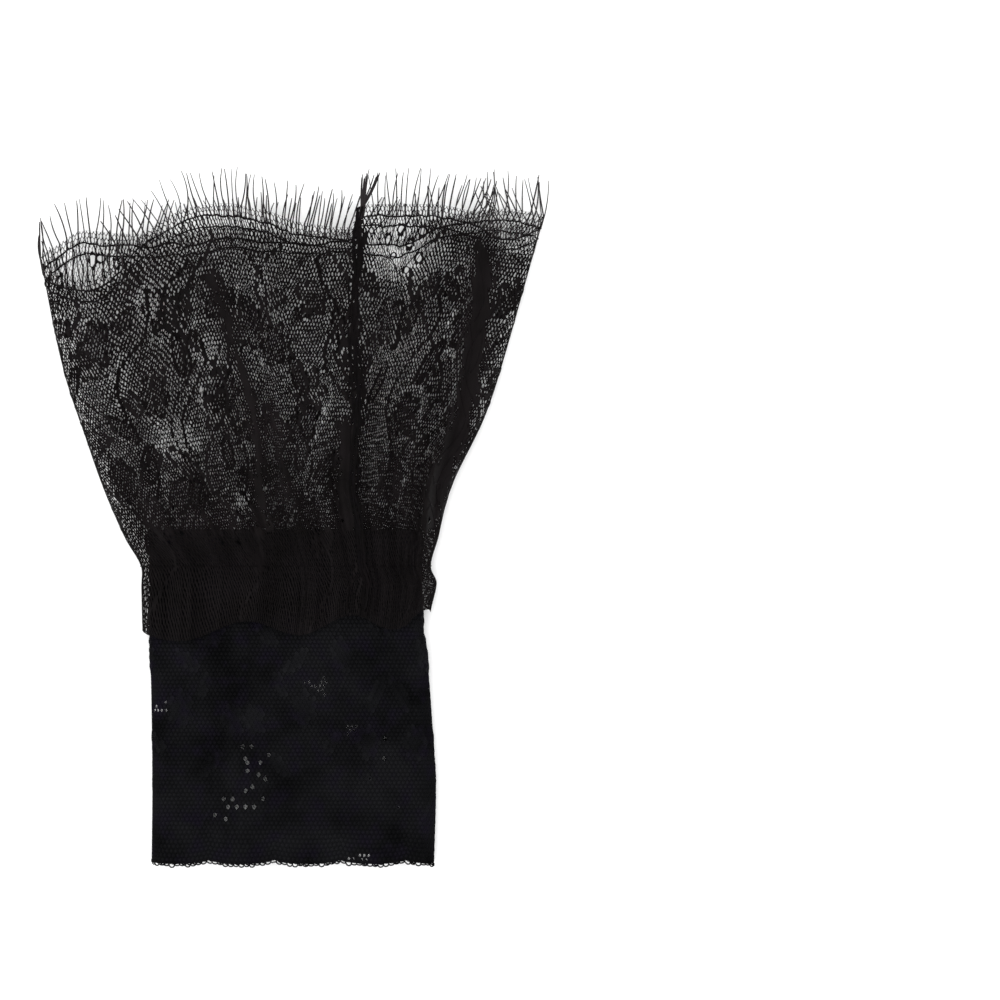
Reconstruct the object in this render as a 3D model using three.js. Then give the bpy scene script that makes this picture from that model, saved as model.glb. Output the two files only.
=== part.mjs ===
// A lace wrist cuff, lying flat as it comes out of its packet: a stretch-lace wrist band, a flounce of
// eyelash lace gathered onto it, and the fringe along the flounce's scalloped edge.
// Millimetres. +Z is up from the table, +Y runs from the wrist hem to the fringe.
import * as THREE from "three";

// Overall sizes
const CUFF_LENGTH = 180; // wrist hem to the middle line of the scalloped edge
const MOUTH_WIDTH = 146; // across the flounce's mouth, lying flat
const WALL = 1; // thickness of every layer of lace
const SEAT_GAP = 0.45; // clearance between pieces that touch

// Wrist band
const BAND_WIDTH = 82;
const BAND_LENGTH = 94;
const BAND_HEIGHT = 9.5; // both layers with the air between them
const HEM_SCALLOP_PITCH = 18;
const HEM_SCALLOP_DEPTH = 1.4;
const HEM_SCALLOP_RUN = 12; // how far up the band its scallops still bend the lace
const STEP_BELOW_FLARE = 7; // the band comes down to the table over this and the next length
const STEP_LENGTH = 13;
const PINHOLE = 2.4; // mesh size of the band's open clusters

// Flounce
const FLARE_LENGTH = 113.5; // scalloped edge to the ruffled heading's hem
const PINCH_AT = 96.5; // scalloped edge to the gathering stitch
const FLARE_GIRTH = 326; // the lace strip before it is gathered
const SCALLOP_PITCH = 69;
const SCALLOP_DEPTH = 6.2; // a scallop's own depth, which the lie of the mouth adds to
const FIRST_PEAK = 13; // from the seam to the first scallop's peak
const GATHER_COUNT = 24;
const GATHER_DEPTH = 3;
const GATHER_DEPTH_UNDER = 2.4; // on the layer that lies on the table
const MOUTH_SIDE_HEIGHT = 6; // height of the fold at either side of the mouth
const CROWN = 8; // how far the top layer domes over that fold
const MOUTH_REACH = 10; // measure of how far a layer's mouth stands before or behind the middle line
const HEM_RIPPLE = 2.4;
const HEM_SLANT = 5;
const SCALLOP_RUN = 16; // the rows of the lace follow its scallops this far down, then flatten
const SCALLOP_FADE = 66;
const SEAM_RISE = 0.9; // overlocked rib down the flounce's one seam

// Openwork under each scallop
const EDGE_STRIP = 6.4; // plain gauze with two corded lines, above the openwork
const OPENWORK_MESH = 2.8;
const OPENWORK_ROWS = 5;
// peak is the scallop, from the seam, row the first mesh below the edge strip, tall the number of meshes
// that an opening runs down, and count the number of openings side by side.
const OPENWORK = [
  { peak: 0, row: 0, tall: 1, count: 4 },
  { peak: 0, row: 2, tall: 1, count: 3 },
  { peak: 0, row: 4, tall: 1, count: 2 },
  { peak: 3, row: 0, tall: 3, count: 5 },
  { peak: 3, row: 4, tall: 1, count: 4 },
];

// Fringe
const FRINGE_HEAD = 1.6;
const FRINGE_THICKNESS = 0.8;
const FRINGE_LENGTH = 10;
const FRINGE_TIP = 0.5;
const FRINGE_TIP_LIFT = 0.4;
const FRINGE_OFF_TABLE = 0.1;
const STEEPEST = 0.5; // cosine of the steepest stretch of the edge that the seat gap still follows

// The flounce from its mouth (at 0) to its hem (at 1). left and right are shares of half the mouth's
// width, crown is a share of CROWN, and sideLift goes from the mouth's fold height (0) to the height
// round the band (1).
const FLARE_SECTIONS = [
  { at: 0.0, left: -1.0, right: 0.985, sideLift: 0.0, crown: 1.0 },
  { at: 0.31, left: -0.903, right: 0.844, sideLift: 0.1, crown: 0.95 },
  { at: 0.48, left: -0.833, right: 0.753, sideLift: 0.25, crown: 0.8 },
  { at: 0.65, left: -0.754, right: 0.622, sideLift: 0.55, crown: 0.55 },
  { at: 0.78, left: -0.668, right: 0.568, sideLift: 0.9, crown: 0.25 },
  { at: 0.85, left: -0.606, right: 0.54, sideLift: 1.0, crown: 0.04 },
  { at: 0.9, left: -0.604, right: 0.563, sideLift: 1.0, crown: 0.2 },
  { at: 1.0, left: -0.6, right: 0.54, sideLift: 1.0, crown: 0.08 },
];

// How the strip lies at the same places. gather and under are shares of GATHER_DEPTH and
// GATHER_DEPTH_UNDER, foldLeft and foldRight are the shares of the girth, from the seam, that lie on the
// two side folds, and crowd pushes the upper layer's cloth to the right.
const FLARE_CLOTH = [
  { at: 0.0, gather: 0.75, under: 0.8, foldLeft: 0.715, foldRight: 0.21, crowd: 0.034 },
  { at: 0.31, gather: 0.95, under: 1.0, foldLeft: 0.71, foldRight: 0.197, crowd: 0.034 },
  { at: 0.48, gather: 1.0, under: 1.0, foldLeft: 0.705, foldRight: 0.188, crowd: 0.05 },
  { at: 0.65, gather: 1.0, under: 0.8, foldLeft: 0.698, foldRight: 0.178, crowd: 0.07 },
  { at: 0.78, gather: 0.9, under: 0.5, foldLeft: 0.692, foldRight: 0.17, crowd: 0.088 },
  { at: 0.85, gather: 0.6, under: 0.45, foldLeft: 0.69, foldRight: 0.166, crowd: 0.095 },
  { at: 0.9, gather: 0.75, under: 0.45, foldLeft: 0.69, foldRight: 0.165, crowd: 0.093 },
  { at: 1.0, gather: 0.6, under: 0.45, foldLeft: 0.69, foldRight: 0.165, crowd: 0.09 },
];

// Each layer's mouth from its left side (at 0) to its right (at 1). reach is a share of MOUTH_REACH, and
// is negative where the layer lies back, as the top layer does over the left corner of the under layer.
const MOUTH_LINES = {
  top: [
    { at: 0.0, reach: -1.1 },
    { at: 0.04, reach: -1.5 },
    { at: 0.09, reach: -1.42 },
    { at: 0.133, reach: -0.7 },
    { at: 0.17, reach: -0.2 },
    { at: 0.22, reach: 0.22 },
    { at: 0.27, reach: 0.36 },
    { at: 0.36, reach: 0.28 },
    { at: 0.42, reach: 0.16 },
    { at: 0.47, reach: 0.0 },
    { at: 0.53, reach: 0.1 },
    { at: 0.58, reach: 0.34 },
    { at: 0.66, reach: 0.31 },
    { at: 0.75, reach: 0.39 },
    { at: 0.86, reach: 0.34 },
    { at: 0.94, reach: 0.0 },
    { at: 1.0, reach: 0.15 },
  ],
  under: [
    { at: 0.0, reach: -1.1 },
    { at: 0.034, reach: -0.79 },
    { at: 0.077, reach: -0.4 },
    { at: 0.12, reach: -0.38 },
    { at: 0.16, reach: -0.38 },
    { at: 0.2, reach: -0.27 },
    { at: 0.3, reach: 0.1 },
    { at: 0.5, reach: -0.4 },
    { at: 0.7, reach: 0.05 },
    { at: 0.9, reach: 0.25 },
    { at: 1.0, reach: 0.15 },
  ],
};

// The large folds. mouth and waist are the fold's place across its layer, width is half its width in the
// same shares, take is the cloth that it uses as a share of the girth, and lean tips it sideways.
const FLARE_FOLDS = [
  { layer: "top", mouth: 0.3, waist: 0.31, width: 0.035, take: 0.006, lean: 0.3 },
  { layer: "top", mouth: 0.345, waist: 0.43, width: 0.045, take: 0.012, lean: 0.5 },
  { layer: "top", mouth: 0.66, waist: 0.69, width: 0.045, take: 0.01, lean: -0.4 },
  { layer: "top", mouth: 0.87, waist: 0.88, width: 0.065, take: 0.022, lean: -0.25 },
  { layer: "under", mouth: 0.24, waist: 0.28, width: 0.05, take: 0.012, lean: 0.3 },
  { layer: "under", mouth: 0.53, waist: 0.5, width: 0.05, take: 0.012, lean: -0.3 },
  { layer: "under", mouth: 0.8, waist: 0.75, width: 0.05, take: 0.01, lean: 0.3 },
];

// The band from its hem (at 0) to its top (at 1). left and right are shares of half the band's width.
const BAND_SECTIONS = [
  { at: 0.0, left: -1.005, right: 0.985 },
  { at: 0.22, left: -1.0, right: 0.998 },
  { at: 0.4, left: -1.004, right: 0.974 },
  { at: 0.6, left: -1.012, right: 0.94 },
  { at: 0.72, left: -1.018, right: 0.908 },
  { at: 1.0, left: -1.022, right: 0.905 },
];

// The open clusters of the band's upper layer: across is the place from the left side to the right side,
// up the place from the hem, and meshes the number of openings in the row.
const BAND_PINHOLES = [
  { across: 0.26, up: 0.15, meshes: 3 },
  { across: 0.36, up: 0.2, meshes: 2 },
  { across: 0.36, up: 0.25, meshes: 2 },
  { across: 0.36, up: 0.3, meshes: 2 },
  { across: 0.84, up: 0.2, meshes: 1 },
  { across: 0.84, up: 0.3, meshes: 1 },
];

const FLARE_COLUMNS = GATHER_COUNT * 4;
const HALF_MOUTH = MOUTH_WIDTH / 2;
const HALF_BAND = BAND_WIDTH / 2;
const FLARE_HEM_Y = CUFF_LENGTH - FLARE_LENGTH;
const BAND_LIFT = WALL + 0.5 * GATHER_DEPTH_UNDER + SEAT_GAP;
const ROUND_BAND_HEIGHT = BAND_HEIGHT + SEAT_GAP;

const lace = new THREE.MeshStandardMaterial({ color: 0x1a1618, roughness: 0.85, metalness: 0 });
const stretchLace = new THREE.MeshStandardMaterial({ color: 0x101113, roughness: 0.8, metalness: 0 });
const fringeThread = new THREE.MeshStandardMaterial({ color: 0x1f1a1c, roughness: 0.7, metalness: 0 });

function mix(a, b, share) {
  return a + (b - a) * share;
}

function ease(from, to, value) {
  const share = THREE.MathUtils.clamp((value - from) / (to - from), 0, 1);
  return share * share * (3 - 2 * share);
}

// Reads a column of a table at any place, on a smooth curve through its rows.
function read(table, column, at) {
  const last = table.length - 1;
  let row = 0;
  while (row < last - 1 && at > table[row + 1].at) row += 1;
  const slope = (from, to) => (table[to][column] - table[from][column]) / (table[to].at - table[from].at);
  const step = table[row + 1].at - table[row].at;
  const share = THREE.MathUtils.clamp((at - table[row].at) / step, 0, 1);
  const slopeIn = slope(Math.max(row - 1, 0), row + 1) * step;
  const slopeOut = slope(row, Math.min(row + 2, last)) * step;
  const square = share * share;
  const cube = square * share;
  return (
    (2 * cube - 3 * square + 1) * table[row][column] +
    (cube - 2 * square + share) * slopeIn +
    (3 * square - 2 * cube) * table[row + 1][column] +
    (cube - square) * slopeOut
  );
}

// A flattened loop of cloth: two flat layers joined by half rounds. share runs across the top layer from
// left to right, or across the under layer from right to left.
function flatLoop(layer, share, left, right, low, high) {
  const radius = (high - low) / 2;
  const straight = right - left - 2 * radius;
  const quarter = (Math.PI * radius) / 2;
  const across = layer === "top" ? share : 1 - share;
  const run = across * (straight + 2 * quarter) - quarter;
  const turn = run < 0 ? run / radius : Math.max(0, run - straight) / radius;
  const x = left + radius + THREE.MathUtils.clamp(run, 0, straight) + radius * Math.sin(turn);
  const rise = radius * Math.cos(turn);
  return { x, z: low + radius + (layer === "top" ? rise : -rise) };
}

// Where the scalloped edge lies, above or below the middle line, at a place along the strip.
function scallopEdge(girthShare, layer, across) {
  const beat = Math.abs(Math.cos((Math.PI * (girthShare * FLARE_GIRTH - FIRST_PEAK)) / SCALLOP_PITCH));
  return SCALLOP_DEPTH * (beat ** 0.8 - 0.5) + MOUTH_REACH * read(MOUTH_LINES[layer], "reach", across);
}

// The layer that a place along the strip lies in, and its share across that layer.
function layerOf(girthShare, foldLeft, foldRight) {
  const fromLeft = (girthShare - foldLeft + 1) % 1;
  const topSpan = (foldRight - foldLeft + 1) % 1;
  if (fromLeft < topSpan) return { layer: "top", share: fromLeft / topSpan, span: topSpan };
  return { layer: "under", share: (fromLeft - topSpan) / (1 - topSpan), span: 1 - topSpan };
}

// The flounce's middle surface: girthShare runs round it from the seam, down runs from the scalloped edge.
function flarePoint(girthShare, down) {
  const at = down / FLARE_LENGTH;
  const value = (column) => read(FLARE_SECTIONS, column, at);
  const cloth = (column) => read(FLARE_CLOTH, column, at);
  const { layer, share, span } = layerOf(girthShare, cloth("foldLeft"), cloth("foldRight"));
  const across = layer === "top" ? share : 1 - share;
  const toWaist = ease(0, PINCH_AT, down);
  let laid = share;
  let ridge = 0;
  let lean = 0;
  let taken = 0;
  for (const fold of FLARE_FOLDS.filter((row) => row.layer === layer)) {
    const place = (share - mix(fold.mouth, fold.waist, toWaist)) / fold.width;
    const take = fold.take * (1 - 0.5 * toWaist);
    const bump = Math.abs(place) < 1 ? 0.5 + 0.5 * Math.cos(Math.PI * place) : 0;
    laid -= (take / span) * ease(-1, 1, place);
    taken += take / span;
    ridge += 0.5 * take * FLARE_GIRTH * bump;
    lean += 0.5 * take * FLARE_GIRTH * bump * fold.lean;
  }
  laid /= 1 - taken;
  if (layer === "top") laid += cloth("crowd") * 4 * laid * (1 - laid);
  const high = WALL / 2 + mix(MOUTH_SIDE_HEIGHT, ROUND_BAND_HEIGHT, value("sideLift"));
  const left = value("left") * HALF_MOUTH + WALL / 2;
  const right = value("right") * HALF_MOUTH - WALL / 2;
  const spot = flatLoop(layer, laid, left, right, WALL / 2, high);
  const clearOfSides = ease(0, 0.1, share) * ease(0, 0.1, 1 - share);
  const wave = 0.5 + 0.5 * Math.cos(2 * Math.PI * GATHER_COUNT * girthShare);
  const depth = layer === "top" ? GATHER_DEPTH * cloth("gather") : GATHER_DEPTH_UNDER * cloth("under");
  const crown = layer === "top" ? CROWN * value("crown") * Math.sqrt(4 * share * (1 - share)) : 0;
  const room = layer === "top" ? 1 : 1 - ease(0.62, 0.8, at);
  const rise = clearOfSides * (depth * wave + ridge * room) + crown;
  const edgeHolds = 1 - ease(SCALLOP_RUN, SCALLOP_RUN + SCALLOP_FADE, down);
  const mouthLine = scallopEdge(girthShare, layer, across) * edgeHolds;
  const hemLine = HEM_SLANT * (across - 0.5) + HEM_RIPPLE * Math.cos(6 * Math.PI * across + 1);
  const y = CUFF_LENGTH - down + mouthLine + hemLine * ease(PINCH_AT, FLARE_LENGTH, down);
  return new THREE.Vector3(spot.x + lean * clearOfSides * room, y, spot.z + rise);
}

function bandPoint(layer, share, up) {
  const at = up / BAND_LENGTH;
  const left = read(BAND_SECTIONS, "left", at) * HALF_BAND + WALL / 2;
  const right = read(BAND_SECTIONS, "right", at) * HALF_BAND - WALL / 2;
  const stepTop = FLARE_HEM_Y - STEP_BELOW_FLARE;
  const lift = BAND_LIFT * ease(stepTop - STEP_LENGTH, stepTop, up);
  const spot = flatLoop(layer, share, left, right, WALL / 2 + lift, BAND_HEIGHT - WALL / 2);
  const across = layer === "top" ? share : 1 - share;
  const beat = Math.abs(Math.sin((Math.PI * across * BAND_WIDTH) / HEM_SCALLOP_PITCH));
  const hem = -HEM_SCALLOP_DEPTH * Math.sqrt(beat) * (1 - ease(0, HEM_SCALLOP_RUN, up));
  return new THREE.Vector3(spot.x, up + hem, spot.z);
}

// The outward direction of a surface, from two small steps on it.
function outward(surface, round, along) {
  const step = 0.0005;
  const reach = 0.05;
  const across = surface(round + step, along).sub(surface(round - step, along));
  const down = surface(round, along + reach).sub(surface(round, along - reach));
  return down.cross(across).normalize();
}

// One closed body: a tube of cloth with its own thickness. rounds are the places round the tube, alongs
// the places down it, and isOpen says which meshes of that grid are pierced.
function clothTube(surface, rounds, alongs, thicker, isOpen) {
  const columns = rounds.length;
  const rows = alongs.length;
  const positions = [];
  const faces = [];
  for (const side of [1, -1]) {
    for (let row = 0; row < rows; row += 1) {
      for (let column = 0; column < columns; column += 1) {
        const normal = outward(surface, rounds[column], alongs[row]);
        const offset = side * (WALL / 2) + (side > 0 ? thicker(column) : 0);
        const point = surface(rounds[column], alongs[row]).addScaledVector(normal, offset);
        positions.push(point.x, point.y, Math.max(point.z, 0));
      }
    }
  }
  const outer = (row, column) => row * columns + ((column + columns) % columns);
  const inner = (row, column) => rows * columns + outer(row, column);
  const quad = (a, b, c, d) => faces.push(a, b, c, a, c, d);
  const isSolid = (row, column) => row >= 0 && row < rows - 1 && !isOpen(row, (column + columns) % columns);
  for (let row = 0; row < rows - 1; row += 1) {
    for (let column = 0; column < columns; column += 1) {
      if (!isSolid(row, column)) continue;
      const next = column + 1;
      quad(outer(row, column), outer(row + 1, column), outer(row + 1, next), outer(row, next));
      quad(inner(row, column), inner(row, next), inner(row + 1, next), inner(row + 1, column));
      if (!isSolid(row - 1, column)) {
        quad(outer(row, column), outer(row, next), inner(row, next), inner(row, column));
      }
      if (!isSolid(row + 1, column)) {
        quad(outer(row + 1, next), outer(row + 1, column), inner(row + 1, column), inner(row + 1, next));
      }
      if (!isSolid(row, column - 1)) {
        quad(outer(row + 1, column), outer(row, column), inner(row, column), inner(row + 1, column));
      }
      if (!isSolid(row, next)) {
        quad(outer(row, next), outer(row + 1, next), inner(row + 1, next), inner(row, next));
      }
    }
  }
  return closedBody(positions, faces);
}

function closedBody(positions, faces) {
  const geometry = new THREE.BufferGeometry();
  geometry.setAttribute("position", new THREE.Float32BufferAttribute(positions, 3));
  geometry.setIndex(faces);
  geometry.computeVertexNormals();
  return geometry;
}

function flareRows() {
  const rows = [0];
  for (let row = 0; row <= OPENWORK_ROWS; row += 1) rows.push(EDGE_STRIP + row * OPENWORK_MESH);
  const openworkEnd = rows[rows.length - 1];
  for (const share of [0.13, 0.28, 0.44, 0.6, 0.75, 0.88, 1]) rows.push(mix(openworkEnd, PINCH_AT, share));
  for (const share of [0.33, 0.67, 1]) rows.push(mix(PINCH_AT, FLARE_LENGTH, share));
  return rows;
}

// Openings stand a closed mesh apart, in rows centred under their scallop's peak.
function openworkMesh(row, column) {
  return OPENWORK.some((fan) => {
    const below = row - 1 - fan.row;
    const peak = Math.floor(((FIRST_PEAK + fan.peak * SCALLOP_PITCH) / FLARE_GIRTH) * FLARE_COLUMNS);
    const place = column - peak + fan.count - 1;
    return below >= 0 && below < fan.tall && place >= 0 && place < 2 * fan.count && place % 2 === 0;
  });
}

function makeFlare() {
  const rounds = Array.from({ length: FLARE_COLUMNS }, (_, column) => column / FLARE_COLUMNS);
  const seamRib = (column) => (column === 0 ? SEAM_RISE : 0);
  return clothTube(flarePoint, rounds, flareRows(), seamRib, openworkMesh);
}

// The band's columns and rows are close together only where its lace is pierced.
function closeMarks(marks, size, length, coarse) {
  const places = [];
  for (const mark of marks) places.push(mark, mark + size / length);
  const spread = [0, 1, ...places].sort((a, b) => a - b);
  const filled = [];
  for (let index = 0; index < spread.length - 1; index += 1) {
    const parts = Math.max(1, Math.round(((spread[index + 1] - spread[index]) * length) / coarse));
    for (let part = 0; part < parts; part += 1) {
      filled.push(mix(spread[index], spread[index + 1], part / parts));
    }
  }
  return filled;
}

function makeBand() {
  const share = PINHOLE / BAND_WIDTH;
  const starts = new Set();
  for (const cluster of BAND_PINHOLES) {
    for (let mesh = 0; mesh < cluster.meshes; mesh += 1) starts.add(cluster.across + 2 * mesh * share);
  }
  const sideShares = [0.025, 0.055, 0.09];
  const sides = [...sideShares, ...sideShares.map((value) => 1 - value)];
  const topShares = [...closeMarks([...starts], PINHOLE, BAND_WIDTH, 8), ...sides].sort((a, b) => a - b);
  const underShares = [...closeMarks([], PINHOLE, BAND_WIDTH, 12), ...sides].sort((a, b) => a - b);
  const rounds = [...topShares.map((value) => value / 2), ...underShares.map((value) => 0.5 + value / 2)];
  const upMarks = [...new Set(BAND_PINHOLES.map((cluster) => cluster.up))];
  const ups = [...closeMarks(upMarks, PINHOLE, BAND_LENGTH, 9), 1].reverse();
  const downs = ups.map((value) => (1 - value) * BAND_LENGTH);
  const surface = (round, down) => {
    const turn = (round + 1) % 1;
    const up = BAND_LENGTH - down;
    return turn < 0.5 ? bandPoint("top", 2 * turn, up) : bandPoint("under", 2 * turn - 1, up);
  };
  const same = (a, b) => Math.abs(a - b) < 1e-6;
  const isPierced = (row, column) =>
    BAND_PINHOLES.some((cluster) => {
      if (!same(ups[row + 1], cluster.up)) return false;
      return Array.from({ length: cluster.meshes }, (_, mesh) => cluster.across + 2 * mesh * share).some(
        (start) => same(rounds[column], start / 2),
      );
    });
  return clothTube(surface, rounds, downs, () => 0, isPierced);
}

// The fringe: a corded head that follows the scalloped edge, with a tapered strip on each of its parts.
function makeFringe() {
  const corners = [];
  const tips = [];
  for (let column = 0; column < FLARE_COLUMNS; column += 1) {
    const share = column / FLARE_COLUMNS;
    const edge = flarePoint(share, 0);
    const out = new THREE.Vector3(0, 1, 0);
    const warp = edge.clone().sub(flarePoint(share, EDGE_STRIP)).setZ(0).normalize();
    const normal = outward(flarePoint, share, 0).setY(0).normalize();
    const sides = [FRINGE_THICKNESS / 2, -FRINGE_THICKNESS / 2];
    const next = flarePoint((column + 1) / FLARE_COLUMNS, 0);
    const run = next.clone().sub(edge);
    const chord = next.sub(flarePoint((column - 1 + FLARE_COLUMNS) / FLARE_COLUMNS, 0)).normalize();
    const slope = chord.dot(out);
    const rimReach = (WALL / 2) * Math.abs(outward(flarePoint, share, 0).y);
    const seat = SEAT_GAP / Math.max(STEEPEST, Math.sqrt(1 - slope * slope)) + rimReach;
    for (const reach of [seat, seat + FRINGE_HEAD]) {
      for (const side of sides) {
        const corner = edge.clone().addScaledVector(out, reach).addScaledVector(normal, side);
        corners.push(corner.x, corner.y, Math.max(corner.z, FRINGE_OFF_TABLE));
      }
    }
    const length = FRINGE_LENGTH * (1 + 0.12 * Math.sin(5.3 * column) + 0.08 * Math.cos(2.1 * column));
    const sway = 0.9 * Math.sin(0.55 * column) + 0.5 * Math.sin(1.7 * column);
    const root = edge.clone().addScaledVector(run, 0.5).addScaledVector(out, seat + FRINGE_HEAD);
    const tip = root.addScaledVector(warp, length).addScaledVector(run.clone().normalize(), sway);
    const along = run.normalize().multiplyScalar(FRINGE_TIP / 2);
    for (const [a, b] of [[-1, 1], [1, 1], [1, -1], [-1, -1]]) {
      const point = tip.clone().addScaledVector(along, a).addScaledVector(normal, (b * FRINGE_TIP) / 2);
      tips.push(point.x, point.y, Math.max(point.z + FRINGE_TIP_LIFT, FRINGE_OFF_TABLE));
    }
  }
  const faces = [];
  const quad = (a, b, c, d) => faces.push(a, b, c, a, c, d);
  const corner = (column, index) => ((column + FLARE_COLUMNS) % FLARE_COLUMNS) * 4 + index;
  const [nearOuter, nearInner, farOuter, farInner] = [0, 1, 2, 3];
  for (let column = 0; column < FLARE_COLUMNS; column += 1) {
    const next = column + 1;
    for (const [low, high] of [[nearOuter, farOuter], [farInner, nearInner], [nearInner, nearOuter]]) {
      quad(corner(column, low), corner(next, low), corner(next, high), corner(column, high));
    }
    const base = [[column, farOuter], [next, farOuter], [next, farInner], [column, farInner]].map((place) =>
      corner(...place),
    );
    const top = [0, 1, 2, 3].map((index) => 4 * FLARE_COLUMNS + 4 * column + index);
    for (let side = 0; side < 4; side += 1) {
      const turn = (side + 1) % 4;
      quad(base[side], base[turn], top[turn], top[side]);
    }
    quad(top[0], top[1], top[2], top[3]);
  }
  return closedBody([...corners, ...tips], faces);
}

function named(name, geometry, material) {
  const mesh = new THREE.Mesh(geometry, material);
  mesh.name = name;
  return mesh;
}

const cuff = new THREE.Group();
cuff.add(named("wrist_band", makeBand(), stretchLace));
cuff.add(named("flare", makeFlare(), lace));
cuff.add(named("eyelash_fringe", makeFringe(), fringeThread));

// The origin is the middle of the cuff's footprint, on the table.
const footprint = new THREE.Box3().setFromObject(cuff);
const middle = footprint.getCenter(new THREE.Vector3());
cuff.position.set(-middle.x, -middle.y, -footprint.min.z);

export default cuff;
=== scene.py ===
import math

import bpy
import numpy as np
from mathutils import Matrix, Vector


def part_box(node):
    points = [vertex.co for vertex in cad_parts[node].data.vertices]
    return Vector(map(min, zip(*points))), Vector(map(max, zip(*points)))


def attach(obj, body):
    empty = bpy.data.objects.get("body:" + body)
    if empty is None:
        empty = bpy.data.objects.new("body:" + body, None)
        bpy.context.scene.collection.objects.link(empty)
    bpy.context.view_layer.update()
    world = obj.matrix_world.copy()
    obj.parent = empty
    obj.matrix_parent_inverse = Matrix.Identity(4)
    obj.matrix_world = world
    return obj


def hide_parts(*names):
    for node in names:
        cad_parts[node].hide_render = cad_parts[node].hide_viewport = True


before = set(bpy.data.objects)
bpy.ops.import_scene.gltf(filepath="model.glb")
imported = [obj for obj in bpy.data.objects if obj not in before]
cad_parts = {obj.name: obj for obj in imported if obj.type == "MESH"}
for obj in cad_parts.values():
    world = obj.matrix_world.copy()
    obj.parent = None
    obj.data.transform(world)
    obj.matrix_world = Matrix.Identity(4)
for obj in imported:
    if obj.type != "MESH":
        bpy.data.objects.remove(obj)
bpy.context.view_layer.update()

# All lengths below are millimetres in the cuff's own frame, whose origin is the middle of the wrist hem on
# the table. +Y runs to the fringe. MM turns millimetres to metres.
MM = 0.001
SEED = 7

# Overall sizes, the same as in the cuff's solids
CUFF_LENGTH = 180
MOUTH_WIDTH = 146
WALL = 1
SEAT_GAP = 0.45
BAND_WIDTH = 82
BAND_LENGTH = 94
BAND_HEIGHT = 9.5
HEM_SCALLOP_PITCH = 18
HEM_SCALLOP_DEPTH = 1.4
HEM_SCALLOP_RUN = 12
STEP_BELOW_FLARE = 7
STEP_LENGTH = 13
FLARE_LENGTH = 113.5
PINCH_AT = 96.5
FLARE_GIRTH = 326
SCALLOP_PITCH = 69
SCALLOP_DEPTH = 6.2
SCALLOP_RUN = 16
SCALLOP_FADE = 66
FIRST_PEAK = 13
MOUTH_REACH = 10
GATHER_COUNT = 24
GATHER_DEPTH = 3
GATHER_DEPTH_UNDER = 2.4
MOUTH_SIDE_HEIGHT = 6
CROWN = 8
HEM_RIPPLE = 2.4
HEM_SLANT = 5
EDGE_STRIP = 6.4
OPENWORK_MESH = 2.8
FRINGE_LENGTH = 10

FLARE_SECTIONS = [
    dict(at=0.00, left=-1.0, right=0.985, side=0.0, crown=1.0),
    dict(at=0.31, left=-0.903, right=0.844, side=0.1, crown=0.95),
    dict(at=0.48, left=-0.833, right=0.753, side=0.25, crown=0.8),
    dict(at=0.65, left=-0.754, right=0.622, side=0.55, crown=0.55),
    dict(at=0.78, left=-0.668, right=0.568, side=0.9, crown=0.25),
    dict(at=0.85, left=-0.606, right=0.54, side=1.0, crown=0.04),
    dict(at=0.90, left=-0.604, right=0.563, side=1.0, crown=0.2),
    dict(at=1.00, left=-0.6, right=0.54, side=1.0, crown=0.08),
]
FLARE_CLOTH = [
    dict(at=0.00, gather=0.75, under=0.8, fold_left=0.715, fold_right=0.21, crowd=0.034),
    dict(at=0.31, gather=0.95, under=1.0, fold_left=0.71, fold_right=0.197, crowd=0.034),
    dict(at=0.48, gather=1.0, under=1.0, fold_left=0.705, fold_right=0.188, crowd=0.05),
    dict(at=0.65, gather=1.0, under=0.8, fold_left=0.698, fold_right=0.178, crowd=0.07),
    dict(at=0.78, gather=0.9, under=0.5, fold_left=0.692, fold_right=0.17, crowd=0.088),
    dict(at=0.85, gather=0.6, under=0.45, fold_left=0.69, fold_right=0.166, crowd=0.095),
    dict(at=0.90, gather=0.75, under=0.45, fold_left=0.69, fold_right=0.165, crowd=0.093),
    dict(at=1.00, gather=0.6, under=0.45, fold_left=0.69, fold_right=0.165, crowd=0.09),
]
MOUTH_TOP = [
    dict(at=0.0, reach=-1.1),
    dict(at=0.04, reach=-1.5),
    dict(at=0.09, reach=-1.42),
    dict(at=0.133, reach=-0.7),
    dict(at=0.17, reach=-0.2),
    dict(at=0.22, reach=0.22),
    dict(at=0.27, reach=0.36),
    dict(at=0.36, reach=0.28),
    dict(at=0.42, reach=0.16),
    dict(at=0.47, reach=0.0),
    dict(at=0.53, reach=0.1),
    dict(at=0.58, reach=0.34),
    dict(at=0.66, reach=0.31),
    dict(at=0.75, reach=0.39),
    dict(at=0.86, reach=0.34),
    dict(at=0.94, reach=0.0),
    dict(at=1.0, reach=0.15),
]
MOUTH_UNDER = [
    dict(at=0.0, reach=-1.1),
    dict(at=0.034, reach=-0.79),
    dict(at=0.077, reach=-0.4),
    dict(at=0.12, reach=-0.38),
    dict(at=0.16, reach=-0.38),
    dict(at=0.2, reach=-0.27),
    dict(at=0.3, reach=0.1),
    dict(at=0.5, reach=-0.4),
    dict(at=0.7, reach=0.05),
    dict(at=0.9, reach=0.25),
    dict(at=1.0, reach=0.15),
]
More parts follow.
